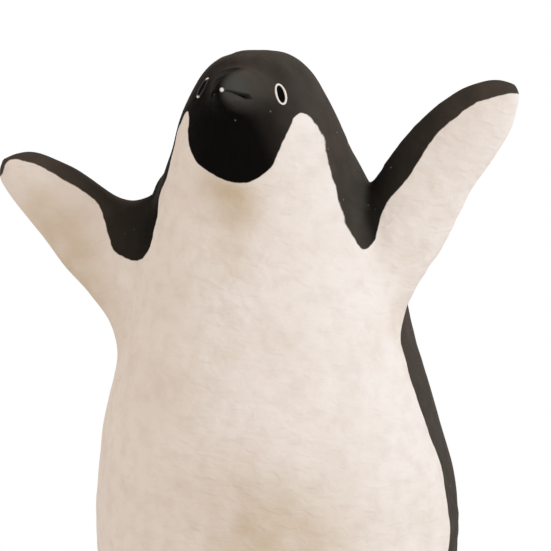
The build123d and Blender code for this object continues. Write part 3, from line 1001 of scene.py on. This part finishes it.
def mouth_score(points):
    """How deep the scored mouth is: a valley along the plane of the mouth, from its corner to the tip. It
    is finest at the tip, where it takes half of the beak's half height at most, and widest just before
    the corner."""
    along, _, up = beak_places(points)
    up = up * np.cos(mouth_droop) + (beak_length - along) * np.sin(mouth_droop)
    growth = np.clip((beak_length - along) / (beak_length - mouth_corner - corner_reach), 0, 1)
    opening = np.clip((along - mouth_corner) / corner_reach, 1e-3, 1)
    strength = (mouth_thin + (1 - mouth_thin) * growth) * opening
    depth = np.minimum(mouth_depth * strength, beak_half_height_at(along) / 2)
    return depth * np.clip(1 - np.abs(up) / (mouth_half_width * strength), 0, 1)


def beak_field(points):
    """Distance from the beak's own skin, which runs out on to the head and slips under it."""
    return tuck(beak_distance(points), body_distance(points), beak_fillet) + mouth_score(points)


def scored_distance(points):
    """Distance from the rough skin with the mouth scored into it."""
    return rough_distance(points) + mouth_score(points)


all_black = 9.0
# Painted sheen: grey on the beak's lit side, the penguin's left, towards its tip.
sheen_from = 11.0
sheen_across, sheen_down = 3.0, 4.5
sheen_middle, sheen_top = 0.3, 1.3
# A painted white glint at the beak's tip: its radius, soft edge, lift above the mouth, and reach from the
# tip.
glint_radius, glint_edge, glint_lift, glint_room = 0.7, 0.3, 0.15, 3.0
beak_first_row = 5.0
beak_row_count, beak_columns = 130, 90
tip_crowding = 1.5
beak_room = 1.6


def beak_half(name, side):
    """The half of the beak above or below its mouth: rays square to its length, from the line of the mouth,
    which falls away from the axis behind the tip. Rows are closer towards the tip, by a power of what is
    left, and the last one is a point."""
    spread = 1 - np.linspace(1, 0, beak_row_count) ** tip_crowding
    stations = beak_first_row + (beak_length - beak_first_row) * spread
    turn = np.linspace(0, np.pi, beak_columns)
    fall = (beak_length - stations) * np.tan(mouth_droop)
    middles = beak_start + stations[:, None] * beak_along - fall[:, None] * beak_up
    middles = middles[:, None] + np.zeros((1, beak_columns, 1))
    directions = np.cos(turn)[:, None] * beak_across + side * np.sin(turn)[:, None] * beak_up
    directions = directions + np.zeros((beak_row_count, 1, 1))
    outer = reach(middles, directions, beak_field, 0, beak_room * beak_half_width)
    outer = roughen(outer, False)
    rise = (outer - middles) @ beak_up
    rise[:, 1:-1] = np.where(rise * side > 0, 0, rise)[:, 1:-1]
    outer -= rise[..., None] * beak_up
    outer[-1] = beak_start + beak_length * beak_along
    points, quads, is_skin = closed_tube(middles[0, 0], outer)
    is_skin &= np.tile(np.arange(beak_columns) < beak_columns - 1, beak_row_count)
    normals = outward(scored_distance, points)
    along, across, up = beak_places(points)
    # Painted light on the beak: its dust and painted light, and a painted grey sheen, only on its lit side.
    lit_side = np.clip(sheen_middle + across / sheen_across, 0, 1)
    painted_sheen = np.clip((along - sheen_from) / (beak_length - sheen_from), 0, 1)
    painted_sheen *= lit_side * np.clip(sheen_top + up / sheen_down, 0, 1)
    # Painted white glint on the very tip of the beak.
    painted_glint = np.clip((glint_radius - np.hypot(across, up - glint_lift)) / glint_edge, 0, 1)
    marks = {
        "past_white": np.full(len(points), all_black),
        "dust_and_light": dust_and_light_on(points, normals) * lit_side,
        # Painted shade: the mouth's groove turns blackest as it deepens.
        "pupil_and_groove_shade": mouth_score(points) / mouth_depth,
        "handled_and_sheen": painted_sheen,
        "painted_glint": painted_glint * (along > beak_length - glint_room),
    }
    return paper_piece(name, points, quads, is_skin, normals, marks)


for node, side in (("upper_beak", 1), ("lower_beak", -1)):
    seat(beak_half(f"{node}_pulp", side), node)


# Tail: a short wedge of paper pulp over a glued peg, pressed on to the back and down to the table, so that
# it props the ornament. It has the back's black paint, which runs on over it without a break.

tail_first_row = 12.0
tail_row_count, tail_columns = 70, 100
tail_room = 1.5
cut_margin = 0.05


def full_turn(count):
    """Even angles once round a circle."""
    return np.linspace(0, 2 * np.pi, count, endpoint=False)


def tail_piece(name):
    """Rays square to the tail's length from its axis, in rows that close up towards the tip, as the sine
    does. The tip is where the axis leaves the form, and the table cuts the form off flat."""

    def tail_field(points):
        own = tuck(tail_distance(points), body_distance(points), tail_fillet)
        return np.maximum(own - relief(points), -points[..., 2])

    first = tail_start + tail_first_row * tail_along
    tip = reach(first, tail_along[None], tail_field, 0, tail_length)[0]
    steps = np.sin(np.linspace(0, np.pi / 2, tail_row_count))
    turn = full_turn(tail_columns)
    middles = first + steps[:, None, None] * (tip - first) + np.zeros((1, tail_columns, 1))
    directions = np.cos(turn)[:, None] * [1, 0, 0] + np.sin(turn)[:, None] * tail_up
    directions = directions + np.zeros((tail_row_count, 1, 1))
    outer = reach(middles, directions, tail_field, 0, tail_room * tail_half_width)
    outer[-1] = outer[-1].mean(0)
    points, quads, is_skin = closed_tube(middles[0, 0], outer)
    is_skin &= points[quads][..., 2].max(-1) > cut_margin
    marks = {"past_white": np.full(len(points), all_black)}
    return paper_piece(name, points, quads, is_skin, outward(rough_distance, points), marks)


seat(tail_piece("tail_wedge"), "tail")


# Feet: pulp pressed flat against the front of the body, three toes each with soft webs between them, and
# painted a dusty pink, with painted shade darker in the folds.

foot_spacing = 36.0
foot_splay = np.radians(9.0)
foot_reach_share = 0.80
toe_length, toe_width = 30.0, 9.0
toe_fan = np.radians(19.0)
toe_middle_share = 0.30
toe_lift_share = 0.09
instep_length, instep_width = 26.0, 13.0
web_fillet = 3.0
foot_overlap = 0.3
foot_heart = 5.0
foot_row_count, foot_columns = 44, 240
foot_relief = 0.7
# Painted shade in the folds between the toes: its width, the height over which it grows, and its most.
fold_shade_width, fold_shade_height, fold_shade_most = 1.6, 2.0, 0.7


def pink_pulp():
    """Flat pink acrylic on coarse pulp: chalky, a little patchy, and darker where two toes meet, which is
    painted shade."""
    material, tree, shader, place = new_material("flat_pink_acrylic_on_pulp", roughness=0.7, ior=1.46)
    patch_size, grain_size, grain_height = 6.0, 0.8, 0.15
    fold_shade = add_node(tree, "Attribute", "Fac", attribute_name="fold_shade")
    patches, grain = (
        add_node(
            tree, "TexNoise", "Fac", {"Vector": place, "Scale": 1 / (size * millimetre), "Detail": 5.0}
        )
        for size in (patch_size, grain_size)
    )
    coat = {0: patches, 6: linear("c89a86"), 7: linear("b27f6c")}
    coat = add_node(tree, "Mix", 2, coat, data_type="RGBA")
    coat = add_node(tree, "Mix", 2, {0: fold_shade, 6: coat, 7: linear("7d5145")}, data_type="RGBA")
    bump = {"Height": grain, "Strength": 0.6, "Distance": grain_height * millimetre}
    wire(tree, shader, {"Base Color": coat, "Normal": add_node(tree, "Bump", "Normal", bump)})
    return material


foot_paint = pink_pulp()


def foot_piece(name, side):
    """An instep and three toes, each a long round form that narrows to both ends: its distance is how far
    the point lies out as a share of the form, less one, times half its width. Rays leave the heart of
    the foot on the table, from level to upright, and the first row closes the flat sole. Painted shade
    lies in the folds, where a point is about as near to one toe as to the next."""
    ankle = np.array([side * foot_spacing / 2, -foot_reach_share * belly_half_depth, 0])
    forms = [(0.0, 0.0, instep_length, instep_width)]
    forms += [(turn * toe_fan, toe_middle_share * toe_length, toe_length, toe_width) for turn in (-1, 0, 1)]

    def spindle_distances(points):
        distances = []
        for turn, middle, length, width in forms:
            bearing = side * foot_splay + turn
            ahead = np.array([np.sin(bearing), -np.cos(bearing), 0])
            offset = points - ankle - ahead * middle - [0, 0, toe_lift_share * width]
            along = offset @ ahead
            square = (offset**2).sum(-1) - along**2
            out = np.sqrt((2 * along / length) ** 2 + 4 * square / width**2)
            distances.append((out - 1) * width / 2)
        return distances

    def foot_form(points):
        instep, *toes = spindle_distances(points)
        for toe in toes:
            instep = meet(instep, toe, web_fillet)
        return instep - foot_relief * relief(points)

    def foot_field(points):
        return np.maximum(foot_form(points), -body_distance(points) - foot_overlap)

    heart = ankle + foot_heart * np.array([side * np.sin(foot_splay), -np.cos(foot_splay), 0])
    tilts = np.linspace(0, np.pi / 2, foot_row_count)[:, None]
    turns = full_turn(foot_columns)
    level = np.cos(tilts)
    directions = [np.cos(turns) * level, np.sin(turns) * level, np.sin(tilts) + 0 * turns]
    directions = np.stack(directions, axis=-1)
    outer = reach(heart, directions, foot_field, 0, toe_length)
    outer[0, :, 2] = 0
    outer[-1] = outer[-1].mean(0)
    points, quads, is_skin = closed_tube(heart, outer)
    # Painted shade where two toes meet, fading out towards the table.
    nearest, second = np.sort(np.stack(spindle_distances(points)[1:]), axis=0)[:2]
    fold_shade = np.clip(1 - (second - nearest) / fold_shade_width, 0, 1)
    fold_shade *= np.clip(points[:, 2] / fold_shade_height, 0, fold_shade_most)
    piece = build_mesh(name, points, quads, is_skin, outward(foot_form, points), {"fold_shade": fold_shade})
    piece.data.materials.append(foot_paint)
    return piece


for name, side in (("left", 1), ("right", -1)):
    seat(foot_piece(f"{name}_foot_pulp", side), f"{name}_foot")


# Eye rings: one turn of thick white acrylic each, brushed on freehand over the dry black so that it stands
# proud of it. The right one, on the side that is handled, has worn off at its sides.

ring_steps, ring_columns = 120, 12
ring_swell, swell_length = 0.18, 1.4
wear_sides, wear_ends, wear_sway, wear_length = 1.3, 1.6, 0.4, 0.9


def line_paint():
    """Thick white line paint: opaque, faintly warm, with ridges that the brush hairs leave. Where the
    attribute worn is high it has rubbed off to the black under it."""
    material, tree, shader, place = new_material("thick_white_acrylic", roughness=0.5, ior=1.48)
    ridge_gap, ridge_height = 0.4, 0.08
    worn = add_node(tree, "Attribute", "Fac", attribute_name="worn")
    ridges = {"Vector": place, "Scale": 1 / (ridge_gap * millimetre), "Detail": 3.0}
    ridges = add_node(tree, "TexNoise", "Fac", ridges)
    coat = add_node(tree, "Mix", 2, {0: ridges, 6: linear("fbf8f3"), 7: linear("e2dbd0")}, data_type="RGBA")
    coat = add_node(tree, "Mix", 2, {0: worn, 6: coat, 7: linear("191715")}, data_type="RGBA")
    bump = {"Height": ridges, "Strength": 0.4, "Distance": ridge_height * millimetre}
    wire(tree, shader, {"Base Color": coat, "Normal": add_node(tree, "Bump", "Normal", bump)})
    return material


white_line = line_paint()


def eye_ring(name, side, wear):
    """A bead carried round an oval that is laid on the head: each place of the oval settles on the skin,
    and the bead's section is a flat oval that stands on it, with a width that wanders a little. It wears
    off most at the sides of the oval."""
    middle, sideways, upright = eyes[side]
    turn = full_turn(ring_steps)
    path = middle + (eye_width - eye_line) / 2 * np.cos(turn)[:, None] * sideways
    path = path + (eye_height - eye_line) / 2 * np.sin(turn)[:, None] * upright
    path = settle(path, rough_distance)
    standing = outward(skin_distance, path)
    ahead = np.roll(path, -1, axis=0) - np.roll(path, 1, axis=0)
    beside = np.cross(standing, ahead / np.linalg.norm(ahead, axis=-1, keepdims=True))
    swell = 1 + ring_swell * soft_noise(path, swell_length, 21)
    section = full_turn(ring_columns)[:, None]
    out = np.cos(section) * beside[:, None]
    up = np.sin(section) * standing[:, None]
    points = path[:, None] + swell[:, None, None] * (eye_line / 2 * out + eye_paint * up)
    normals = out / eye_line + up / (2 * eye_paint)
    points = np.concatenate([points, points[:1]]).reshape(-1, 3)
    normals = np.concatenate([normals, normals[:1]]).reshape(-1, 3)
    normals /= np.linalg.norm(normals, axis=-1, keepdims=True)
    quads = wrap_rows(ring_steps + 1, ring_columns)
    patches = wear_sway * soft_noise(path, wear_length, 22)
    worn = wear * np.clip(wear_sides - wear_ends * np.sin(turn) ** 8 + patches, 0, 1)
    worn = np.repeat(np.append(worn, worn[0]), ring_columns)
    piece = build_mesh(name, points, quads, np.ones(len(quads), bool), normals, {"worn": worn})
    piece.data.materials.append(white_line)
    return piece


for side, wear in (("left", 0.0), ("right", 1.0)):
    seat(eye_ring(f"{side}_eye_line", side, wear), f"{side}_eye_ring")


# Studio: a matt white board that fades to white for the camera, under a warm, even world that is the main
# light. One soft, cool lamp stands on the penguin's left, and the camera is at the photograph's angle.

world = bpy.data.worlds.new("studio")
bpy.context.scene.world = world
world.use_nodes = True
tree = world.node_tree
tree.nodes.clear()
camera_ray = add_node(tree, "LightPath", "Is Camera Ray")
room = add_node(tree, "Background", 0, {"Color": linear("fff3e9"), "Strength": 0.80})
behind = add_node(tree, "Background", 0, {"Color": (1, 1, 1, 1), "Strength": 1.0})
seen = add_node(tree, "MixShader", 0, {0: camera_ray, 1: room, 2: behind})
wire(tree, tree.nodes.new("ShaderNodeOutputWorld"), {"Surface": seen})

board_radius, board_sides = 6000.0, 96
fade_from, fade_to = 130.0, 225.0
turns = full_turn(board_sides)
corners = board_radius * millimetre * np.stack([np.cos(turns), np.sin(turns), 0 * turns], axis=-1)
board_mesh = bpy.data.meshes.new("floor")
board_mesh.from_pydata(corners.tolist(), [], [list(range(len(corners)))])
board = bpy.data.objects.new("floor", board_mesh)
bpy.context.collection.objects.link(board)
board_finish, tree, shader, place = new_material("matt_white_board", roughness=0.9, ior=1.5)
shader.inputs["Base Color"].default_value = linear("efedea")
away = add_node(tree, "VectorMath", "Value", {0: place}, operation="LENGTH")
fade = {"Value": away, "From Min": fade_from * millimetre, "From Max": fade_to * millimetre}
fade = add_node(tree, "MapRange", "Result", fade, interpolation_type="SMOOTHSTEP")
camera_ray = add_node(tree, "LightPath", "Is Camera Ray")
faded = add_node(tree, "Math", 0, {0: camera_ray, 1: fade}, operation="MULTIPLY")
glow = add_node(tree, "Emission", 0, {"Color": (1, 1, 1, 1), "Strength": 1.0})
seen = add_node(tree, "MixShader", 0, {0: faded, 1: shader.outputs["BSDF"], 2: glow})
wire(tree, tree.nodes["Material Output"], {"Surface": seen})
board.data.materials.append(board_finish)


def place_looking(data, name, place, back):
    """Puts a lamp or a camera at a place in millimetres, level, and looking against a direction."""
    right = np.cross([0, 0, 1], back)
    right /= np.linalg.norm(right)
    turned = np.eye(4)
    turned[:3, :3] = np.stack([right, np.cross(back, right), back], axis=1)
    turned[:3, 3] = place * millimetre
    placed = bpy.data.objects.new(name, data)
    placed.matrix_world = Matrix(turned.tolist())
    bpy.context.collection.objects.link(placed)
    return placed


lamp_place = np.array([930.0, -290.0, 640.0])
lamp_size, lamp_watts = 500.0, 4.3
lamp = bpy.data.lights.new("soft_lamp", "AREA")
lamp.size = lamp_size * millimetre
lamp.energy = lamp_watts
lamp.color = linear("d9ecff")[:3]
lamp_back = lamp_place - [0, 0, crown_height / 2]
place_looking(lamp, "soft_lamp", lamp_place, lamp_back / np.linalg.norm(lamp_back))

camera_azimuth, camera_elevation = np.radians(17.0), np.radians(6.0)
camera_distance = 1100.0
camera_target = np.array([0, 0, 110.0])
picture_pixels, pixel_size = 551, 0.28
camera = bpy.data.cameras.new("camera")
camera.sensor_fit = "HORIZONTAL"
camera.sensor_width = 36.0
camera.lens = camera.sensor_width * camera_distance / (picture_pixels * pixel_size)
camera.shift_x, camera.shift_y = -0.0018, 0.054
camera.clip_end = 20.0
level = np.array([np.sin(camera_azimuth), -np.cos(camera_azimuth), 0])
camera_back = np.cos(camera_elevation) * level + [0, 0, np.sin(camera_elevation)]
camera_place = camera_target + camera_distance * camera_back
bpy.context.scene.camera = place_looking(camera, "camera", camera_place, camera_back)
bpy.context.scene.view_settings.view_transform = "Standard"
